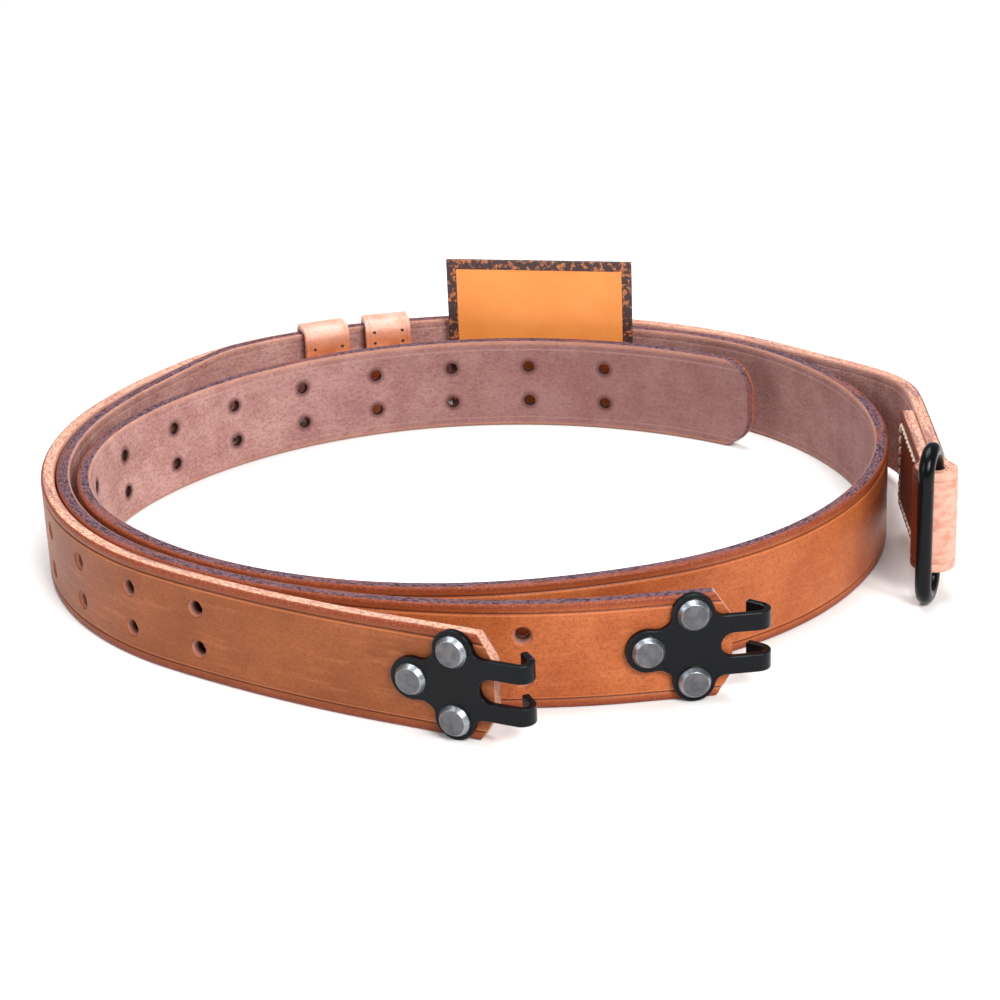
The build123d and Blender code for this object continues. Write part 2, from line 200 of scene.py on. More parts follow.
# ---- mesh helpers --------------------------------------------------------------------------------
def new_object(name, verts, faces):
    """A mesh object from vertices in millimetres."""
    mesh = bpy.data.meshes.new(name)
    mesh.from_pydata([[c * MM for c in v] for v in verts], [], faces)
    mesh.validate()
    mesh.update()
    piece = bpy.data.objects.new(name, mesh)
    bpy.context.scene.collection.objects.link(piece)
    return piece


def smooth(mesh, degrees):
    """Smooth shading, sharp where faces meet at more than the angle."""
    mesh.polygons.foreach_set("use_smooth", [True] * len(mesh.polygons))
    mesh.set_sharp_from_angle(angle=math.radians(degrees))


def face_outwards(mesh):
    """Turn every face of a closed mesh outwards."""
    work = bmesh.new()
    work.from_mesh(mesh)
    bmesh.ops.recalc_face_normals(work, faces=work.faces)
    work.to_mesh(mesh)
    work.free()


def add_tube(faces, first, rings, sides):
    """Walls and two ends over rings of vertices that follow each other from the first."""
    for ring in range(rings - 1):
        a, b = first + ring * sides, first + (ring + 1) * sides
        for i in range(sides):
            j = (i + 1) % sides
            faces.append((a + i, a + j, b + j, b + i))
    last = first + (rings - 1) * sides
    faces.append(tuple(first + i for i in reversed(range(sides))))
    faces.append(tuple(last + i for i in range(sides)))


def cut(piece, verts, faces):
    """Cut closed meshes, given in millimetres, out of the piece."""
    cutter = new_object(piece.name + "_cutter", verts, faces)
    face_outwards(cutter.data)
    face_outwards(piece.data)
    modifier = piece.modifiers.new("cut", "BOOLEAN")
    modifier.object = cutter
    modifier.operation = "DIFFERENCE"
    modifier.solver = "EXACT"
    graph = bpy.context.evaluated_depsgraph_get()
    mesh = bpy.data.meshes.new_from_object(piece.evaluated_get(graph))
    piece.modifiers.clear()
    piece.data = mesh
    mesh.name = piece.name
    bpy.data.objects.remove(cutter)


# ---- strap cross-section -------------------------------------------------------------------------
CREASE_INSET = 2.8
CREASE_DEPTH = 0.4
CREASE_HALF = 0.28
FLESH_CREASE = 0.2
CROWN = 1.15
CROWN_SQUARENESS = 0.62
FACE_HEIGHTS = [CROWN, 1.7, 2.2, 2.5, 2.65, 2.8, 2.95, 3.1, 3.45, 4.2, 6.5, 10.5, 14.0]
CROWN_STEPS = 9


def crease(height):
    """Depth of the pressed line near each edge."""
    inset = min(height, STRAP_WIDTH - height)
    return CREASE_DEPTH * math.exp(-(((inset - CREASE_INSET) / CREASE_HALF) ** 2))


def strap_profile():
    """Closed outline of the strap as (offset from the middle, height), grain face first."""
    heights = FACE_HEIGHTS + [STRAP_WIDTH - h for h in reversed(FACE_HEIGHTS)]
    outline = [(HALF_THICK - crease(h), h) for h in heights]
    crown = []
    for i in range(1, CROWN_STEPS):
        angle = math.pi * i / CROWN_STEPS
        across = math.copysign(abs(math.cos(angle)) ** CROWN_SQUARENESS, math.cos(angle))
        crown.append((HALF_THICK * across, CROWN * math.sin(angle) ** CROWN_SQUARENESS))
    outline += [(across, STRAP_WIDTH - CROWN + rise) for across, rise in crown]
    outline += [(-HALF_THICK + FLESH_CREASE * crease(h), h) for h in reversed(heights)]
    outline += [(-across, CROWN - rise) for across, rise in crown]
    return outline


def sweep_strap(name, route):
    """Sweep the cross-section along the route as a closed mesh."""
    outline = strap_profile()
    verts, faces = [], []
    distances = sample_distances(route.steps)
    for distance in distances:
        point, heading = station(route, distance)
        low = route.lift(point, distance)
        for offset, height in outline:
            verts.append((*beside(point, heading, offset), low + height))
    add_tube(faces, 0, len(distances), len(outline))
    return new_object(name, verts, faces)


# Round cutters, as (offset from the middle of the leather towards its grain face, radius).
PUNCH = [(3.4, 4.1), (2.2, 3.15), (1.95, 2.85), (1.3, 2.35), (0.5, 2.0), (-1.5, 1.85), (-2.05, 1.95),
         (-3.4, 2.3)]
STAPLE_PIT = [(-3.9, 0.5), (-6.3, 0.5), (-7.2, 0.8)]
BORE = [(3.4, 1.85), (-3.4, 1.85)]
PUNCH_SIDES = 22
PUNCH_LUMPS = 0.04
STAPLE_LUMPS = 0.05
CUTTER_HALF = 4.0
CUTTER_PAST = 2
TAIL_ARC_STEPS = 10


def punch(verts, faces, place, profile, rng, rough):
    """Add a round cutter at (point, heading, height), its sides uneven by up to the share rough."""
    point, heading, height = place
    along = math.radians(heading)
    first = len(verts)
    lumps = [1 + rough * rng.uniform(-1, 1) for _ in range(PUNCH_SIDES)]
    for offset, radius in profile:
        centre = beside(point, heading, offset)
        for side in range(PUNCH_SIDES):
            angle = 2 * math.pi * side / PUNCH_SIDES
            reach = radius * lumps[side]
            aside = reach * math.cos(angle)
            verts.append((centre[0] + aside * math.cos(along), centre[1] + aside * math.sin(along),
                          height + reach * math.sin(angle)))
    add_tube(faces, first, len(profile), PUNCH_SIDES)


def prism(verts, faces, place, corners):
    """Add a cutter through the strap; corners are (distance along, height) about the place."""
    point, heading, height = place
    along = math.radians(heading)
    first = len(verts)
    for offset in (CUTTER_HALF, -CUTTER_HALF):
        centre = beside(point, heading, offset)
        for forward, rise in corners:
            verts.append((centre[0] + forward * math.cos(along), centre[1] + forward * math.sin(along),
                          height + rise))
    add_tube(faces, first, 2, len(corners))


def rounded_corner(side):
    """Outline of what is cut off one corner of the rounded tail."""
    edge = side * STRAP_WIDTH / 2
    arc = []
    for i in range(TAIL_ARC_STEPS + 1):
        angle = math.radians(90 * i / TAIL_ARC_STEPS)
        arc.append((-TAIL_ROUND + TAIL_ROUND * math.sin(angle),
                    edge - side * TAIL_ROUND * (1 - math.cos(angle))))
    past = edge + side * CUTTER_PAST
    return arc + [(CUTTER_PAST, edge - side * TAIL_ROUND), (CUTTER_PAST, past), (-TAIL_ROUND, past)]


def plate_corner(side):
    """Outline of what is cut off one corner at the claw plate, about the rivets' middle."""
    edge = side * STRAP_WIDTH / 2 + STRAP_WIDTH / 2 - PLATE_RISE
    past = edge + side * CUTTER_PAST
    along, up = END_CUT
    before = -RIVET_INSET - CUTTER_PAST
    return [(-RIVET_INSET + along, edge), (-RIVET_INSET + along, past), (before, past),
            (before, edge - side * up * (along + CUTTER_PAST) / along)]


def add_reading(piece, route):
    """Store each vertex's distance along the strap, height and depth, which the leather is drawn with."""
    distances = sample_distances(route.steps)
    stations = [station(route, d) for d in distances]
    tree = KDTree(len(stations))
    for index, (point, _) in enumerate(stations):
        tree.insert((point[0] * MM, point[1] * MM, 0), index)
    tree.balance()
    along, high, deep = [], [], []
    for vertex in piece.data.vertices:
        x, y, z = vertex.co
        _, index, _ = tree.find((x, y, 0))
        point, turn = stations[index]
        angle = math.radians(turn)
        dx, dy = x / MM - point[0], y / MM - point[1]
        along.append(distances[index] + dx * math.cos(angle) + dy * math.sin(angle))
        deep.append(-dx * math.sin(angle) + dy * math.cos(angle))
        high.append(z / MM - route.lift(point, distances[index]))
    for name, values in (("strap_along", along), ("strap_high", high), ("strap_deep", deep)):
        attribute = piece.data.attributes.new(name, "FLOAT", "POINT")
        attribute.data.foreach_set("value", values)


# ---- the two straps ------------------------------------------------------------------------------
STRAP_SHARP = 38


def place_at(route, distance, height):
    """Point, heading and height of a spot on the strap."""
    point, heading = station(route, distance)
    return point, heading, height


def make_strap(name, route, holes, rounded_tail):
    """A strap with its holes punched, its rivet holes bored and its corners cut."""
    rng = random.Random(name)
    piece = sweep_strap(name, route)
    verts, faces = [], []
    for distance in holes:
        for row in (-HOLE_ROW_OFFSET, HOLE_ROW_OFFSET):
            place = place_at(route, distance, STRAP_WIDTH / 2 + row)
            punch(verts, faces, place, PUNCH, rng, PUNCH_LUMPS)
    seat = place_at(route, RIVET_INSET, PLATE_RISE)
    for forward, rise in RIVET_SPOTS:
        middle, heading = step_end(seat[0], seat[1], (None, forward))
        punch(verts, faces, (middle, heading, PLATE_RISE + rise), BORE, rng, 0)
    for side in (-1, 1):
        prism(verts, faces, seat, plate_corner(side))
    if rounded_tail:
        tail = place_at(route, path_length(route.steps), STRAP_WIDTH / 2)
        for side in (-1, 1):
            prism(verts, faces, tail, rounded_corner(side))
    cut(piece, verts, faces)
    add_reading(piece, route)
    smooth(piece.data, STRAP_SHARP)
    return piece


long_holes = [LONG_FIRST_HOLE] + [LONG_LENGTH - inset for inset in TAIL_HOLES]
short_strap = make_strap("short_strap_leather", SHORT, SHORT_HOLES, False)
long_strap = make_strap("long_strap_leather", LONG, long_holes, True)
for side, strap in (("short", short_strap), ("long", long_strap)):
    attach(strap, side + "_sling")
    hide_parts(side + "_strap")


# ---- keepers -------------------------------------------------------------------------------------
# Outside of a keeper from its edge to its middle, as (distance in from the edge, depth).
KEEPER_LOOPS = [(0.0, 0.7), (0.06, 0.38), (0.26, 0.12), (0.6, 0.0), (1.35, 0.0), (1.5, 0.17),
                (1.65, 0.0), (4.5, 0.0)]
KEEPER_LIP = 0.3
CORNER_POINTS = 8


def rounded_outline(half_width, half_height, radius):
    """Points round a rounded rectangle, the same number whatever its size."""
    found = []
    for quarter, (x, y) in enumerate(((1, 1), (-1, 1), (-1, -1), (1, -1))):
        for i in range(CORNER_POINTS):
            angle = math.radians(90 * quarter + 90 * i / (CORNER_POINTS - 1))
            found.append((x * (half_width - radius) + radius * math.cos(angle),
                          y * (half_height - radius) + radius * math.sin(angle)))
    return found


def keeper_loops(inner, outer):
    """Loops round a keeper as (place along the strap, half sizes, corner radius, depth pressed in)."""
    half = KEEPER_WIDTH / 2
    loops = [(at - half, outer, KEEPER_ROUNDS[0], pressed) for at, pressed in KEEPER_LOOPS]
    loops += [(half - at, outer, KEEPER_ROUNDS[0], pressed) for at, pressed in reversed(KEEPER_LOOPS)]
    inside = ((half, -KEEPER_LIP), (half - KEEPER_LIP, 0.0), (KEEPER_LIP - half, 0.0), (-half, -KEEPER_LIP))
    return loops + [(at, inner, KEEPER_ROUNDS[1], pressed) for at, pressed in inside]


def make_keeper(name, distance, staple_rise):
    """A leather loop with softened edges, a pressed line near each edge and pits at the staple ends."""
    back = path_length(LONG_FRONT) + step_length(LONG_BACK[0]) + distance
    point, heading = station(LONG, back)
    angle = math.radians(heading)
    inner = [whole / 2 for whole in KEEPER_INNER]
    outer = [half + KEEPER_WALL for half in inner]
    centre = beside(point, heading, HALF_THICK + KEEPER_OUTSIDE_GAP - inner[0])
    loops = keeper_loops(inner, outer)
    verts, faces = [], []
    for at, (half_depth, half_height), radius, pressed in loops:
        for across, rise in rounded_outline(half_depth - pressed, half_height - pressed, radius - pressed):
            x, y = beside(centre, heading, across)
            verts.append((x + at * math.cos(angle), y + at * math.sin(angle), outer[1] + rise))
    count = 4 * CORNER_POINTS
    for loop in range(len(loops)):
        a, b = loop * count, (loop + 1) % len(loops) * count
        for i in range(count):
            j = (i + 1) % count
            faces.append((a + i, a + j, b + j, b + i))
    piece = new_object(name, verts, faces)
    verts, faces = [], []
    rng = random.Random(name)
    for aside in (-STAPLE_ASIDE, STAPLE_ASIDE):
        spot = (centre[0] + aside * math.cos(angle), centre[1] + aside * math.sin(angle))
        for height in (staple_rise - STAPLE_SPREAD / 2, staple_rise + STAPLE_SPREAD / 2):
            punch(verts, faces, (spot, heading, height), STAPLE_PIT, rng, STAPLE_LUMPS)
    cut(piece, verts, faces)
    smooth(piece.data, STRAP_SHARP)
    return piece


keepers = []
for number, body in enumerate(("first_keeper", "second_keeper"), 1):
    keeper = make_keeper(f"keeper_{number}_leather", KEEPER_AT[number - 1], STAPLE_RISE[number - 1])
    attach(keeper, body)
    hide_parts(f"keeper_{number}")
    keepers.append(keeper)


# ---- node trees ----------------------------------------------------------------------------------
class Tree:
    """A material being built from nodes."""

    def __init__(self, name):
        self.material = bpy.data.materials.new(name)
        self.material.use_nodes = True
        self.nodes = self.material.node_tree.nodes
        self.shader = self.nodes["Principled BSDF"]

    def put(self, socket, value):
        """Link a node's output to the socket, or set the socket to a plain value."""
        if isinstance(value, bpy.types.NodeSocket):
            self.material.node_tree.links.new(value, socket)
        else:
            socket.default_value = value

    def node(self, kind, **settings):
        """Add a node with its settings."""
        node = self.nodes.new(kind)
        for key, value in settings.items():
            setattr(node, key, value)
        return node

    def finish(self, colour, roughness, height, depth):
        """Set colour, roughness, and bump from a height of 0 to 1 that stands for depth millimetres."""
        self.put(self.shader.inputs["Base Color"], colour)
        self.put(self.shader.inputs["Roughness"], roughness)
        node = self.node("ShaderNodeBump")
        node.inputs["Strength"].default_value = 1.0
        node.inputs["Distance"].default_value = depth * MM
        self.put(node.inputs["Height"], height)
        self.put(self.shader.inputs["Normal"], node.outputs[0])

    def constant(self, name, value):
        """Set a shader input that is the same all over the surface."""
        self.shader.inputs[name].default_value = value

    def reading(self, name):
        """A value stored with the mesh."""
        return self.node("ShaderNodeAttribute", attribute_name=name).outputs["Fac"]

    def place(self):
        """Position on the object, in millimetres."""
        scale = self.node("ShaderNodeVectorMath", operation="SCALE")
        self.put(scale.inputs[0], self.node("ShaderNodeTexCoord").outputs["Object"])
        scale.inputs["Scale"].default_value = 1 / MM
        return scale.outputs[0]

    def vector(self, x, y, z):
        """A vector from three values."""
        node = self.node("ShaderNodeCombineXYZ")
        for socket, value in zip(node.inputs, (x, y, z)):
            self.put(socket, value)
        return node.outputs[0]

    def split(self, vector):
        """The three values of a vector."""
        node = self.node("ShaderNodeSeparateXYZ")
        self.put(node.inputs[0], vector)
        return node.outputs

    def math(self, operation, *values):
        """One step of arithmetic."""
        node = self.node("ShaderNodeMath", operation=operation)
        for socket, value in zip(node.inputs, values):
            self.put(socket, value)
        return node.outputs[0]

    def ramp(self, value, low, high):
        """0 below low, 1 above high, smooth between; low may be above high."""
        node = self.node("ShaderNodeMapRange", interpolation_type="SMOOTHSTEP")
        self.put(node.inputs["Value"], value)
        flipped = low > high
        node.inputs["From Min"].default_value = high if flipped else low
        node.inputs["From Max"].default_value = low if flipped else high
        node.inputs["To Min"].default_value = 1.0 if flipped else 0.0
        node.inputs["To Max"].default_value = 0.0 if flipped else 1.0
        return node.outputs["Result"]

    def noise(self, vector, size, detail=3.0, rough=0.55):
        """Noise whose lumps are about size across, from 0 to 1."""
        node = self.node("ShaderNodeTexNoise")
        self.put(node.inputs["Vector"], vector)
        node.inputs["Scale"].default_value = 1 / size
        node.inputs["Detail"].default_value = detail
        node.inputs["Roughness"].default_value = rough
        return node.outputs["Fac"]

    def cells(self, vector, size):
        """Distance to the middle of the nearest of many cells about size across."""
        node = self.node("ShaderNodeTexVoronoi", feature="F1")
        self.put(node.inputs["Vector"], vector)
        node.inputs["Scale"].default_value = 1 / size
        return node.outputs["Distance"]

    def stretched(self, vector, x, y, z):
        """The place, scaled along each axis, so that a pattern drawn with it is stretched."""
        node = self.node("ShaderNodeVectorMath", operation="MULTIPLY")
        self.put(node.inputs[0], vector)
        node.inputs[1].default_value = (x, y, z)
        return node.outputs[0]

    def mix(self, share, first, second):
        """The first colour where share is 0, the second where it is 1."""
        node = self.node("ShaderNodeMix", data_type="RGBA", blend_type="MIX")
        self.put(node.inputs["Factor"], share)
        for socket, colour in ((node.inputs[6], first), (node.inputs[7], second)):
            self.put(socket, (*colour, 1) if isinstance(colour, tuple) else colour)
        return node.outputs[2]

    def tint(self, colour, mask, share, other):
        """The colour with a share of the other where the mask is 1."""
        return self.mix(self.math("MULTIPLY", mask, share), colour, other)

    def band(self, value, centre, outer, inner):
        """1 within inner of the centre, 0 beyond outer."""
        return self.ramp(self.math("ABSOLUTE", self.math("SUBTRACT", value, centre)), outer, inner)

    def total(self, *terms):
        """Sum of (value, weight) terms."""
        found = 0.0
        for value, weight in terms:
            found = self.math("ADD", self.math("MULTIPLY", value, weight), found)
        return found

    def edge_highlight(self, radius):
        """1 within about radius millimetres of a hard edge, 0 on the flats."""
        rounded = self.node("ShaderNodeBevel", samples=6)
        rounded.inputs["Radius"].default_value = radius * MM
        agree = self.node("ShaderNodeVectorMath", operation="DOT_PRODUCT")
        self.put(agree.inputs[0], rounded.outputs[0])
        self.put(agree.inputs[1], self.node("ShaderNodeNewGeometry").outputs["Normal"])
        return self.ramp(agree.outputs["Value"], 0.995, 0.9)

    def squareness(self, axis):
        """How squarely the surface faces along axis, from 0 to 1."""
        agree = self.node("ShaderNodeVectorMath", operation="DOT_PRODUCT")
        self.put(agree.inputs[0], self.node("ShaderNodeTexCoord").outputs["Normal"])
        agree.inputs[1].default_value = axis
        return self.math("ABSOLUTE", agree.outputs["Value"])


def rgb(*display):
    """A display colour, 0 to 255, as linear light."""
    return tuple(c / 255 / 12.92 if c <= 10 else ((c / 255 + 0.055) / 1.055) ** 2.4 for c in display)


# ---- strap leather -------------------------------------------------------------------------------
GRAIN_PALE = rgb(226, 142, 96)
GRAIN_SPECK = rgb(112, 50, 26)
FLESH_MAUVE = rgb(166, 118, 112)
FLESH_DARK = rgb(110, 70, 66)
FLESH_PALE = rgb(196, 152, 144)
RAW_EDGE = rgb(228, 172, 146)
RAW_EDGE_DARK = rgb(168, 112, 98)
BURNISHED_EDGE = rgb(112, 84, 94)
BURNISHED_DARK = rgb(42, 28, 36)
EDGE_STAIN = rgb(118, 50, 28)

# Depth in the leather from its middle, at which each surface starts and is complete.
GRAIN_SIDE = (1.1, 1.7)
FLESH_SIDE = (-1.3, -1.85)
WALL_BELOW_GRAIN = (1.8, 1.5)
WALL_ABOVE_FLESH = (-1.98, -1.8)
WALL_SHADE = (-1.0, 1.6)

# Distance in from the strap's edge: where hole walls may start, the painted highlight beside the crease, and
# a faint line on the flesh face.
WALL_INSET = (4.5, 5.0)
CREASE_HIGHLIGHT_INSET = CREASE_INSET + 0.62
FLESH_LINE_INSET = 3.2

# Along the strap, from where the ring end folds: the raw bend, then the darker flap.
BEND_RISE = (-8, 1)
BEND_FALL = (20, 16.5)
FLAP_RISE = (17.5, 21)

# Painted shade on the long strap's inner face: its tail, and a stretch at the back.
TAIL_SHADED = 280
TAIL_SHADE_RISE = 240
BACK_SHADE_RISE = (480, 560)
BACK_SHADE_FALL = (830, 720)


def hole_halo(tree, along, high, first, pitch, last):
    """1 close round the punched holes, fading to 0 about 2 mm out."""
    shifted = tree.math("SUBTRACT", along, first - pitch / 2)
    wrapped = tree.math("SUBTRACT", tree.math("FLOORED_MODULO", shifted, pitch), pitch / 2)
    rise = tree.math("SUBTRACT", tree.math("ABSOLUTE", tree.math("SUBTRACT", high, STRAP_WIDTH / 2)),
                     HOLE_ROW_OFFSET)
    distance = tree.math("SQRT", tree.math("ADD", tree.math("POWER", wrapped, 2.0),
                                           tree.math("POWER", rise, 2.0)))
    near = tree.ramp(distance, 4.0, 1.9)
    inside = tree.math("MULTIPLY", tree.math("GREATER_THAN", along, first - pitch / 2),
                       tree.math("LESS_THAN", along, last + pitch / 2))
    return tree.math("MULTIPLY", near, inside)


def grain_colour(tree, reading, grain, grain_deep, fold_from):
    """Smooth outer face: oiled russet, darker to the pressed line and the edges, with a painted highlight
    beside the line.
    """
    along, spot, inset, fine = reading
    broad = tree.noise(spot, 30.0, 3.0)
    streak = tree.noise(tree.stretched(spot, 0.12, 1.0, 1.0), 2.6, 4.0, 0.6)
    speck = tree.noise(spot, 0.6, 2.0, 0.6)
    colour = tree.mix(tree.ramp(broad, 0.35, 0.7), grain, grain_deep)
    colour = tree.tint(colour, tree.ramp(streak, 0.5, 0.75), 0.16, GRAIN_PALE)
    colour = tree.tint(colour, tree.ramp(fine, 0.45, 0.75), 0.35, EDGE_STAIN)
    colour = tree.tint(colour, tree.ramp(speck, 0.46, 0.66), 0.36, GRAIN_SPECK)
    colour = tree.tint(colour, tree.ramp(inset, 2.9, 0.9), 0.85, EDGE_STAIN)
    scuffed = tree.math("MULTIPLY", tree.ramp(inset, 2.2, 0.8), tree.ramp(speck, 0.48, 0.64))
    colour = tree.tint(colour, scuffed, 0.38, rgb(180, 104, 76))
    # The pressed line is darkened, partly the leather's own darkening and partly painted shade in its groove.
    line = tree.band(inset, CREASE_INSET, 0.34, 0.06)
    colour = tree.tint(colour, line, 0.8, rgb(78, 32, 20))
    # Painted highlight on the lip beside the pressed line.
    crease_lip_highlight = tree.band(inset, CREASE_HIGHLIGHT_INSET, 0.3, 0.05)
    colour = tree.tint(colour, crease_lip_highlight, 0.3, GRAIN_PALE)
    if fold_from is None:
        return colour
    pale = tree.math("MULTIPLY", tree.ramp(along, *(fold_from + d for d in BEND_RISE)),
                     tree.ramp(along, *(fold_from + d for d in BEND_FALL)))
    mottle = tree.mix(tree.ramp(tree.noise(spot, 2.4, 4.0), 0.4, 0.7), rgb(217, 164, 146), rgb(198, 134, 110))
    colour = tree.mix(pale, colour, mottle)
    dark = tree.mix(broad, rgb(116, 48, 26), rgb(86, 32, 18))
    return tree.mix(tree.ramp(along, *(fold_from + d for d in FLAP_RISE)), colour, dark)


def flesh_colour(tree, reading, halo, fibre, shade_from):
    """Rough inner face: mauve, hazy, darker round the holes, with painted shade towards the tail and over a
    stretch at the back.
    """
    along, spot, inset, fine = reading
    nap = tree.noise(spot, 14.0, 4.0, 0.6)
    flesh = tree.mix(tree.ramp(nap, 0.3, 0.72), FLESH_MAUVE, FLESH_PALE)
    flesh = tree.tint(flesh, tree.ramp(fibre, 0.42, 0.68), 0.5, FLESH_DARK)
    flesh = tree.tint(flesh, tree.ramp(fine, 0.45, 0.7), 0.35, rgb(206, 172, 164))
    if shade_from is not None:
        # Painted shade: the flesh face is darkened towards the tail and over a stretch at the back.
        painted_shade = tree.ramp(along, shade_from, shade_from + TAIL_SHADE_RISE)
        back = tree.math("MULTIPLY", tree.ramp(along, *BACK_SHADE_RISE), tree.ramp(along, *BACK_SHADE_FALL))
        painted_shade = tree.math("MAXIMUM", painted_shade, tree.math("MULTIPLY", back, 0.75))
        flesh = tree.tint(flesh, painted_shade, 0.72, rgb(104, 66, 66))
    flesh = tree.tint(flesh, tree.ramp(inset, 1.8, 0.9), 0.3, rgb(206, 146, 112))
    faint = tree.band(inset, FLESH_LINE_INSET, 0.5, 0.05)
    flesh = tree.tint(flesh, faint, 0.16, rgb(206, 164, 152))
    return tree.tint(flesh, halo, 0.75, rgb(74, 38, 38))


def edge_colours(tree, along, spot, chew, edges):
    """The long edges, fibrous and patchy, and the raw leather of a fresh cut, which starts the strap."""
    edge, edge_dark, edge_patch = edges
    patch = tree.noise(tree.stretched(spot, 0.05, 0.1, 0.6), 1.6, 3.0, 0.6)
    rim = tree.mix(tree.ramp(chew, 0.44, 0.6), edge, edge_dark)
    rim = tree.tint(rim, tree.ramp(patch, 0.5, 0.62), 0.6, edge_patch)
    raw = tree.mix(tree.ramp(chew, 0.4, 0.62), RAW_EDGE, RAW_EDGE_DARK)
    return tree.mix(tree.ramp(along, END_CUT[0] + 0.5, END_CUT[0] - 0.1), rim, raw), raw


def strap_leather(name, whole, edges, grains, holes, fold_from=None, shade_from=None):
    """Leather of one strap; edges and grains are colours, holes are (first, pitch, last) along it."""
    tree = Tree(name)
    along, high, deep = (tree.reading(n) for n in ("strap_along", "strap_high", "strap_deep"))
    spot = tree.vector(along, high, deep)
    inset = tree.math("MINIMUM", high, tree.math("SUBTRACT", STRAP_WIDTH, high))
    fine = tree.noise(spot, 0.9, 3.0, 0.6)
    fibre = tree.noise(tree.stretched(spot, 0.6, 1.0, 1.0), 0.8, 4.0, 0.7)
    pores = tree.cells(spot, 0.55)
    halo = hole_halo(tree, along, high, *holes)
    reading = (along, spot, inset, fine)
    colour = grain_colour(tree, reading, *grains, fold_from)
    flesh = flesh_colour(tree, reading, halo, fibre, shade_from)

    chew = tree.noise(tree.stretched(spot, 0.4, 1.0, 1.0), 0.55, 4.0, 0.7)
    rim, raw = edge_colours(tree, along, spot, chew, edges)

    grain_side = tree.ramp(deep, *GRAIN_SIDE)
    flesh_side = tree.ramp(deep, *FLESH_SIDE)
    between = tree.math("MULTIPLY", tree.ramp(deep, *WALL_BELOW_GRAIN), tree.ramp(deep, *WALL_ABOVE_FLESH))
    hole_wall = tree.math("MULTIPLY", tree.ramp(inset, *WALL_INSET), between)
    hole_wall = tree.math("MULTIPLY", hole_wall, tree.ramp(along, whole - TAIL_ROUND, whole - TAIL_ROUND - 1))
    surface = tree.mix(grain_side, rim, colour)
    surface = tree.mix(flesh_side, surface, flesh)
    wall = tree.mix(tree.ramp(deep, *WALL_SHADE), rgb(52, 30, 28), rgb(158, 106, 90))
    surface = tree.mix(hole_wall, surface, tree.mix(tree.ramp(along, 4.5, 3.5), wall, raw))

    matt = tree.math("SUBTRACT", 1.0, grain_side)
    rough = tree.total((grain_side, 0.4), (matt, 0.74), (fine, 0.1))
    height = tree.total((tree.math("MULTIPLY", pores, grain_side), 0.14),
                        (tree.math("MULTIPLY", fine, grain_side), 0.2),
                        (tree.math("MULTIPLY", fibre, matt), 0.7),
                        (tree.math("MULTIPLY", chew, matt), 0.6))
    tree.finish(surface, rough, height, 0.32)
    tree.constant("Specular IOR Level", 0.2)
    return tree.material


def dress(piece, material):
    """Give the piece one material."""
    piece.data.materials.clear()
    piece.data.materials.append(material)


fold_start = path_length(SHORT_COIL + RING_END)
dress(short_strap, strap_leather(
    "short_strap_leather", path_length(SHORT.steps), (RAW_EDGE, RAW_EDGE_DARK, BURNISHED_EDGE),
    (rgb(146, 81, 42), rgb(126, 67, 34)), (SHORT_HOLES[0], SHORT_PITCH, SHORT_HOLES[-1]),
    fold_from=fold_start))
dress(long_strap, strap_leather(
    "long_strap_leather", LONG_LENGTH, (BURNISHED_EDGE, BURNISHED_DARK, rgb(140, 80, 68)),
    (rgb(180, 99, 54), rgb(158, 79, 39)),
    (LONG_LENGTH - TAIL_HOLES[-1], TAIL_PITCH, LONG_LENGTH - TAIL_HOLES[0]),
    shade_from=LONG_LENGTH - TAIL_SHADED))


# ---- other materials -----------------------------------------------------------------------------
def keeper_leather():
    """Painted highlight: paler on top, tan lower down."""
    tree = Tree("keeper_leather")
    spot = tree.place()
    height = tree.split(spot)[2]
    broad = tree.noise(spot, 5.0, 4.0)
    fine = tree.noise(spot, 0.9, 4.0, 0.6)
    pale = tree.mix(tree.ramp(broad, 0.35, 0.7), rgb(232, 178, 162), rgb(216, 150, 124))
    tan = tree.mix(tree.ramp(broad, 0.35, 0.7), rgb(214, 134, 92), rgb(190, 104, 64))
    uneven_height = tree.math("ADD", height, tree.math("MULTIPLY", broad, 7.0))
    # Painted highlight: the top of the loop is paler than its lower part.
    colour = tree.mix(tree.ramp(uneven_height, 40.0, 33.0), pale, tan)
    colour = tree.tint(colour, tree.ramp(fine, 0.52, 0.75), 0.35, rgb(160, 84, 52))
    tree.finish(colour, tree.total((fine, 0.18), (broad, 0.1), (1.0, 0.34)),
                tree.total((fine, 0.7), (tree.cells(spot, 0.6), 0.4)), 0.16)
    tree.constant("Specular IOR Level", 0.4)
    return tree.material


def black_enamel():
    """Blue-black paint, a little scuffed, with a painted blue-grey highlight along its edges."""
    tree = Tree("black_enamel")
    spot = tree.place()
    orange_peel = tree.noise(spot, 1.6, 2.0, 0.5)
    scuff = tree.noise(tree.stretched(spot, 1.0, 1.0, 0.4), 0.7, 5.0, 0.7)
    colour = tree.tint(rgb(6, 8, 11), tree.ramp(scuff, 0.58, 0.78), 0.5, rgb(24, 30, 40))
    # Painted highlight along the plate's edges.
    colour = tree.tint(colour, tree.edge_highlight(0.35), 0.85, rgb(92, 108, 124))
    tree.finish(colour, tree.total((scuff, 0.14), (1.0, 0.17)), orange_peel, 0.05)
    tree.constant("Specular IOR Level", 0.12)
    tree.constant("Coat Weight", 0.06)
    tree.constant("Coat Roughness", 0.1)
    return tree.material


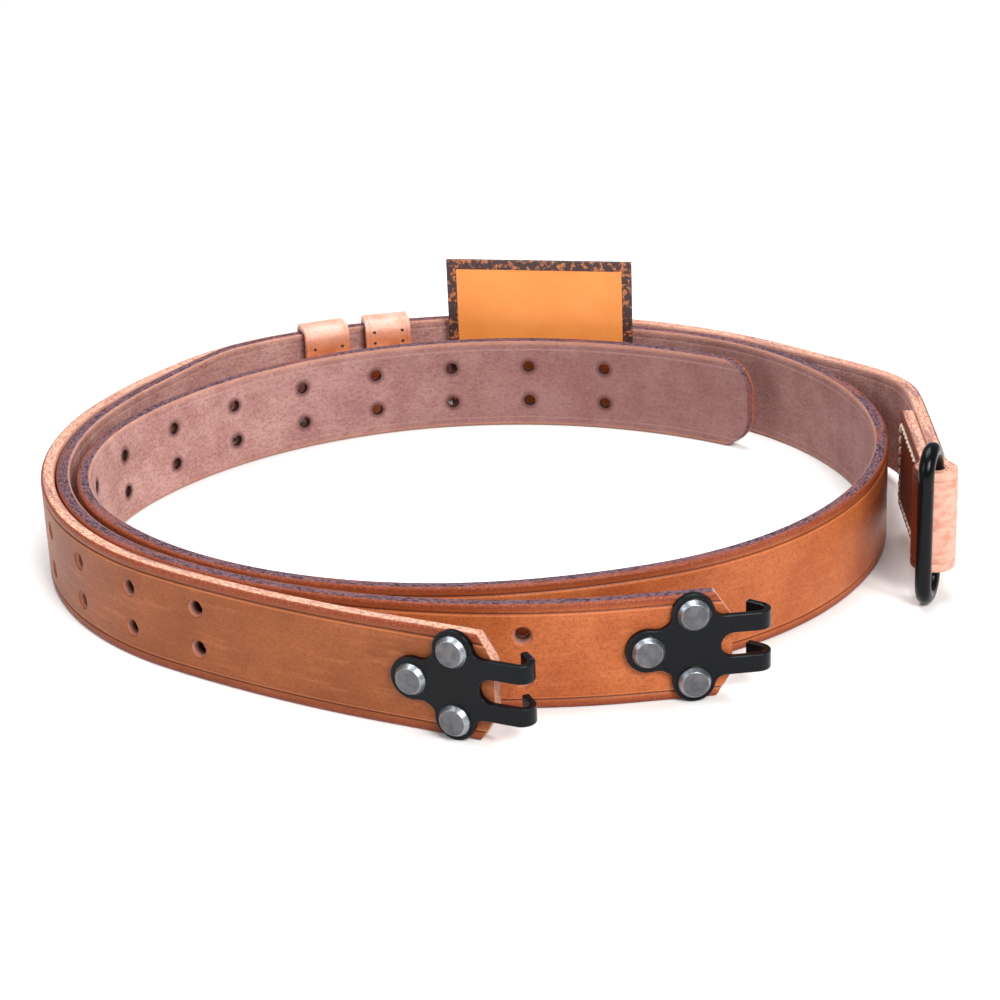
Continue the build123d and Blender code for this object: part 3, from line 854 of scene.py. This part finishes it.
def rivet_steel(name, axis):
    """Steel with a dull flat across axis, a brighter bevel around it and a painted highlight along its edges.
    """
    tree = Tree(name)
    bevel = tree.ramp(tree.squareness(axis), 0.97, 0.88)
    spot = tree.place()
    brushed = tree.noise(spot, 0.35, 4.0, 0.7)
    blotch = tree.noise(spot, 2.4, 3.0)
    colour = tree.mix(tree.ramp(blotch, 0.3, 0.7), rgb(92, 91, 94), rgb(114, 113, 116))
    colour = tree.tint(colour, tree.ramp(brushed, 0.45, 0.7), 0.5, rgb(84, 82, 84))
    bright = tree.mix(tree.ramp(brushed, 0.35, 0.7), rgb(178, 184, 190), rgb(128, 132, 138))
    colour = tree.mix(bevel, colour, bright)
    # Painted highlight along the rivet's edges.
    colour = tree.tint(colour, tree.edge_highlight(0.3), 0.7, rgb(206, 206, 208))
    roughness = tree.total((brushed, 0.2), (blotch, 0.08), (bevel, -0.16), (1.0, 0.36))
    tree.finish(colour, roughness, brushed, 0.03)
    tree.constant("Metallic", 1.0)
    return tree.material


def staple_steel():
    """Dark wire with a little rust."""
    tree = Tree("staple_steel")
    wear = tree.noise(tree.place(), 0.8, 3.0)
    colour = tree.mix(wear, rgb(58, 48, 44), rgb(96, 84, 78))
    tree.finish(colour, tree.total((wear, 0.4), (1.0, 0.3)), wear, 0.03)
    tree.constant("Metallic", 0.8)
    return tree.material


def waxed_thread():
    """Cream thread with an uneven twist."""
    tree = Tree("waxed_thread")
    twist = tree.noise(tree.stretched(tree.place(), 1.0, 1.0, 2.2), 0.28, 3.0)
    tree.finish(tree.mix(twist, rgb(244, 232, 214), rgb(196, 168, 140)), 0.62, twist, 0.12)
    return tree.material


def tag_card():
    """The tag's plain orange field."""
    tree = Tree("tag_card")
    spot = tree.place()
    fibre = tree.noise(spot, 0.7, 4.0, 0.6)
    cloud = tree.noise(spot, 16.0, 3.0)
    colour = tree.mix(tree.ramp(cloud, 0.3, 0.7), rgb(230, 144, 71), rgb(224, 136, 63))
    colour = tree.tint(colour, tree.ramp(fibre, 0.55, 0.8), 0.25, rgb(214, 128, 58))
    tree.finish(colour, tree.total((fibre, 0.15), (1.0, 0.5)), fibre, 0.06)
    return tree.material


def tag_binding():
    """The tag's dark brown edge, worn through to orange in patches."""
    tree = Tree("tag_binding")
    spot = tree.place()
    mottle = tree.noise(spot, 1.9, 4.0, 0.62)
    worn = tree.noise(spot, 0.8, 4.0, 0.65)
    colour = tree.mix(tree.ramp(mottle, 0.52, 0.6), rgb(60, 40, 42), rgb(186, 112, 66))
    colour = tree.tint(colour, tree.ramp(worn, 0.46, 0.6), 0.7, rgb(52, 36, 34))
    tree.finish(colour, tree.total((worn, 0.2), (1.0, 0.42)),
                tree.total((worn, 0.6), (mottle, 0.4)), 0.25)
    return tree.material


finishes = {
    "keeper_leather": keeper_leather(), "black_enamel": black_enamel(), "staple_steel": staple_steel(),
    "white_thread": waxed_thread(), "tag_field": tag_card(), "tag_border": tag_binding(),
}
for side in ("short", "long"):
    facets = frame["nodes"][side + "_rivet_left"].data.polygons
    axis = max(facets, key=lambda facet: facet.area).normal
    finishes[side + "_rivet"] = rivet_steel(side + "_rivet_steel", axis)

# Radius of the softened edges on the pieces of each finish.
SOFTEN = {"black_enamel": 0.28, "tag_border": 0.3, "tag_field": 0.1}
CAD_SHARP = 30
BEVEL_ABOVE = 40
MERGE = 0.002
for entry in frame["record"]["subparts"]:
    node = frame["nodes"][entry["node"]]
    finish = entry["material_slot"]
    if finish == "rivet_steel":
        finish = entry["node"].split("_")[0] + "_rivet"
    if finish not in finishes:
        continue
    dress(node, finishes[finish])
    smooth(node.data, CAD_SHARP)
    weld = node.modifiers.new("weld", "WELD")
    weld.merge_threshold = MERGE * MM
    if finish in SOFTEN:
        edges = node.modifiers.new("soft_edges", "BEVEL")
        edges.width = SOFTEN[finish] * MM
        edges.segments = 3
        edges.limit_method = "ANGLE"
        edges.angle_limit = math.radians(BEVEL_ABOVE)
    level = node.modifiers.new("level_flats", "WEIGHTED_NORMAL")
    level.keep_sharp = True
for keeper in keepers:
    dress(keeper, finishes["keeper_leather"])


# ---- stitches ------------------------------------------------------------------------------------
THREAD_RADIUS = 0.46
THREAD_PINCH = 0.28
THREAD_BOW = 0.62
THREAD_SUNK = 0.42
STITCH_LEAN = 0.14
STITCH_GAP = 0.25
STITCH_SHARP = 60
STITCH_PITCH = 3.6
STITCH_INSET = 3.2
STITCH_FROM_CUT = 3.0
STITCH_COUNT = 9
CROSS_COUNT = 7
STITCH_SIDES = 8
STITCH_RINGS = 9


def add_stitch(verts, faces, start, end, out, rng):
    """One stitch from hole to hole: a thread that bows out of the leather between them."""
    start, end, out = Vector(start), Vector(end), Vector(out)
    way = (end - start).normalized()
    across = way.cross(out)
    first = len(verts)
    lean = rng.uniform(-STITCH_LEAN, STITCH_LEAN)
    for ring in range(STITCH_RINGS):
        share = ring / (STITCH_RINGS - 1)
        swell = math.sin(math.pi * share)
        rise = THREAD_BOW * swell ** 0.6 - THREAD_SUNK
        centre = start.lerp(end, share) + out * rise + across * lean * swell
        radius = THREAD_RADIUS * (1 - THREAD_PINCH + THREAD_PINCH * swell ** 0.5)
        for side in range(STITCH_SIDES):
            angle = 2 * math.pi * side / STITCH_SIDES
            verts.append(centre + (out * math.sin(angle) + across * math.cos(angle)) * radius)
    add_tube(faces, first, STITCH_RINGS, STITCH_SIDES)


def make_stitches():
    """Two rows along the flap and one across near its cut end, on both faces of the ring end."""
    rng = random.Random(11)
    point, heading = station(SHORT, path_length(SHORT.steps) - FLAP_LENGTH)
    angle = math.radians(heading)
    along = Vector((math.cos(angle), math.sin(angle), 0))
    left = Vector((-math.sin(angle), math.cos(angle), 0))
    middle = Vector((*point, RING_LIFT + STRAP_WIDTH / 2))
    last = FLAP_LENGTH - STITCH_FROM_CUT
    side = STRAP_WIDTH / 2 - STITCH_INSET
    verts, faces = [], []
    for depth, out in ((HALF_THICK, left), (-HALF_THICK - 2 * LAYER_HALF, -left)):
        def spot(x, z):
            return middle + along * x + left * depth + Vector((0, 0, z))
        for row in (-side, side):
            for i in range(STITCH_COUNT):
                x = last - STITCH_PITCH * i
                ends = (x - STITCH_GAP, x - STITCH_PITCH + STITCH_GAP)
                add_stitch(verts, faces, spot(ends[0], row), spot(ends[1], row), out, rng)
        pitch = 2 * side / CROSS_COUNT
        for i in range(CROSS_COUNT):
            z = -side + pitch * i
            ends = (z + STITCH_GAP, z + pitch - STITCH_GAP)
            add_stitch(verts, faces, spot(last, ends[0]), spot(last, ends[1]), out, rng)
    piece = new_object("ring_end_stitches", verts, faces)
    smooth(piece.data, STITCH_SHARP)
    return piece


stitches = make_stitches()
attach(stitches, "short_sling")
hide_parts("ring_tab_stitching")
dress(stitches, finishes["white_thread"])


# ---- floor, light and camera ---------------------------------------------------------------------
FLOOR_HALF = 3000.0


def make_floor():
    """A plain pale floor."""
    corners = [(x * FLOOR_HALF, y * FLOOR_HALF, 0) for x, y in ((-1, -1), (1, -1), (1, 1), (-1, 1))]
    floor = new_object("floor", corners, [(0, 1, 2, 3)])
    tree = Tree("pale_floor")
    cloud = tree.noise(tree.place(), 400.0, 2.0)
    tree.put(tree.shader.inputs["Base Color"], tree.mix(cloud, (0.88, 0.88, 0.88), (0.86, 0.86, 0.86)))
    tree.constant("Roughness", 0.9)
    dress(floor, tree.material)


def area_light(name, place, target, size, power, tint):
    """A square soft light at the place, turned to the target, in metres and watts."""
    light = bpy.data.lights.new(name, "AREA")
    light.size = size
    light.energy = power
    light.color = tint
    lamp = bpy.data.objects.new(name, light)
    bpy.context.scene.collection.objects.link(lamp)
    lamp.location = place
    lamp.rotation_euler = (Vector(target) - Vector(place)).to_track_quat("-Z", "Y").to_euler()


def make_world():
    """Even light from all round."""
    world = bpy.data.worlds.new("studio")
    world.use_nodes = True
    background = world.node_tree.nodes["Background"]
    background.inputs["Color"].default_value = (0.96, 0.98, 1.0, 1)
    background.inputs["Strength"].default_value = 0.3
    bpy.context.scene.world = world


# In metres, degrees and millimetres of lens.
CAMERA_PLACE = (0.0046, -0.7317, 0.3177)
CAMERA_TARGET = (0.0046, 0.0375, 0.0)
CAMERA_ROLL = -2.305
CAMERA_LENS = 90.3


def make_camera():
    """The camera at the sling's front, a little above it."""
    data = bpy.data.cameras.new("camera")
    data.lens = CAMERA_LENS
    data.sensor_width = 36.0
    camera = bpy.data.objects.new("camera", data)
    bpy.context.scene.collection.objects.link(camera)
    look = Vector(CAMERA_TARGET) - Vector(CAMERA_PLACE)
    turn = look.to_track_quat("-Z", "Y").to_matrix().to_4x4()
    camera.matrix_world = (Matrix.Translation(CAMERA_PLACE) @ turn
                           @ Matrix.Rotation(math.radians(CAMERA_ROLL), 4, "Z"))
    bpy.context.scene.camera = camera


make_floor()
make_world()
area_light("key", (0.6, -1.2, 1.1), (0, 0, 0.02), 0.7, 32, (1.0, 0.985, 0.96))
area_light("top", (-0.1, 0.4, 1.5), (0, 0, 0), 1.1, 23, (1.0, 1.0, 1.0))
area_light("left", (-1.2, -0.5, 0.8), (0, 0, 0.02), 0.8, 6, (0.97, 0.98, 1.0))
make_camera()
bpy.context.scene.view_settings.view_transform = "Standard"
